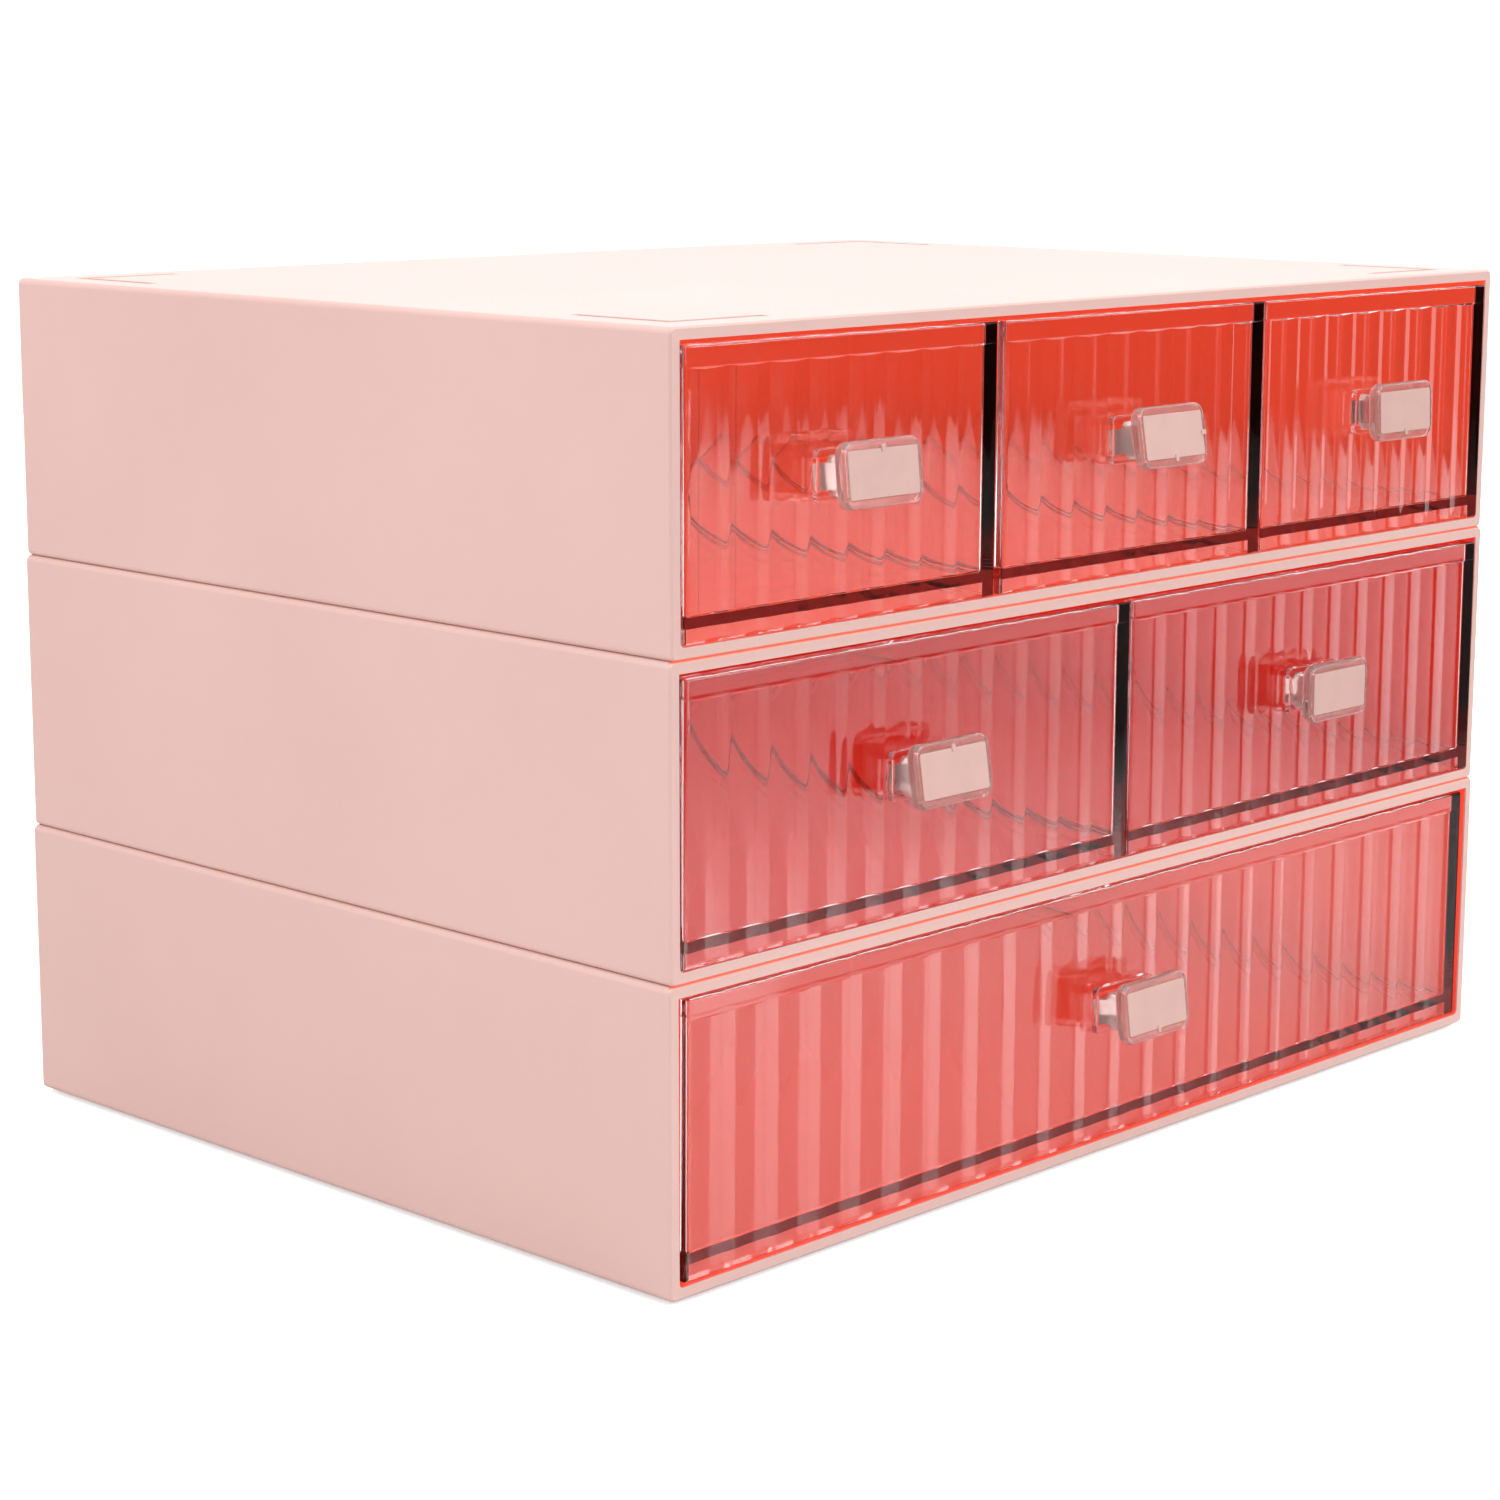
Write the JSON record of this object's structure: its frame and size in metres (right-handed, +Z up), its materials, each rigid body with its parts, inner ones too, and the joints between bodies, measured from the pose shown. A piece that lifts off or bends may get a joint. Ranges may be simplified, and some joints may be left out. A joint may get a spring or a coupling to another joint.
{
  "type": "desktop storage drawer",
  "caption": "Stackable desktop storage box with moulded cases and clear fluted drawers that slide out on small flat pulls, for cosmetics, jewellery and stationery.",
  "frame": {"origin": "centre of the overall footprint, pulls included, on the surface that the set stands on", "axes": "+X to the right along the width, -Y out of the drawer fronts, +Z up"},
  "size_m": [0.2704, 0.2088, 0.181],
  "materials": {
    "case": "fine satin",
    "clear": "clear, polished",
    "clear_pull": "clear, polished",
    "insert": "fine satin"
  },
  "bodies": {
    "case_bottom": {"case_bottom": "case"},
    "case_middle": {"case_middle": "case"},
    "case_top": {"case_top": "case"},
    "drawer_bottom": {"drawer_bottom": "clear", "pull_bottom": "clear_pull", "insert_bottom": "insert"},
    "drawer_middle_left": {"drawer_middle_left": "clear", "pull_middle_left": "clear_pull", "insert_middle_left": "insert"},
    "drawer_middle_right": {"drawer_middle_right": "clear", "pull_middle_right": "clear_pull", "insert_middle_right": "insert"},
    "drawer_top_left": {"drawer_top_left": "clear", "pull_top_left": "clear_pull", "insert_top_left": "insert"},
    "drawer_top_centre": {"drawer_top_centre": "clear", "pull_top_centre": "clear_pull", "insert_top_centre": "insert"},
    "drawer_top_right": {"drawer_top_right": "clear", "pull_top_right": "clear_pull", "insert_top_right": "insert"}
  },
  "joints": [
    {"name": "lift_middle_case", "type": "slide", "parent": "case_bottom", "child": "case_middle", "axis": [0, 0, 1], "range_m": [0, 0.08]},
    {"name": "lift_top_case", "type": "slide", "parent": "case_middle", "child": "case_top", "axis": [0, 0, 1], "range_m": [0, 0.08]},
    {"name": "slide_bottom", "type": "slide", "parent": "case_bottom", "child": "drawer_bottom", "axis": [0, -1, 0], "range_m": [0, 0.15]},
    {"name": "slide_middle_left", "type": "slide", "parent": "case_middle", "child": "drawer_middle_left", "axis": [0, -1, 0], "range_m": [0, 0.15]},
    {"name": "slide_middle_right", "type": "slide", "parent": "case_middle", "child": "drawer_middle_right", "axis": [0, -1, 0], "range_m": [0, 0.15]},
    {"name": "slide_top_left", "type": "slide", "parent": "case_top", "child": "drawer_top_left", "axis": [0, -1, 0], "range_m": [0, 0.15]},
    {"name": "slide_top_centre", "type": "slide", "parent": "case_top", "child": "drawer_top_centre", "axis": [0, -1, 0], "range_m": [0, 0.15]},
    {"name": "slide_top_right", "type": "slide", "parent": "case_top", "child": "drawer_top_right", "axis": [0, -1, 0], "range_m": [0, 0.15]}
  ]
}
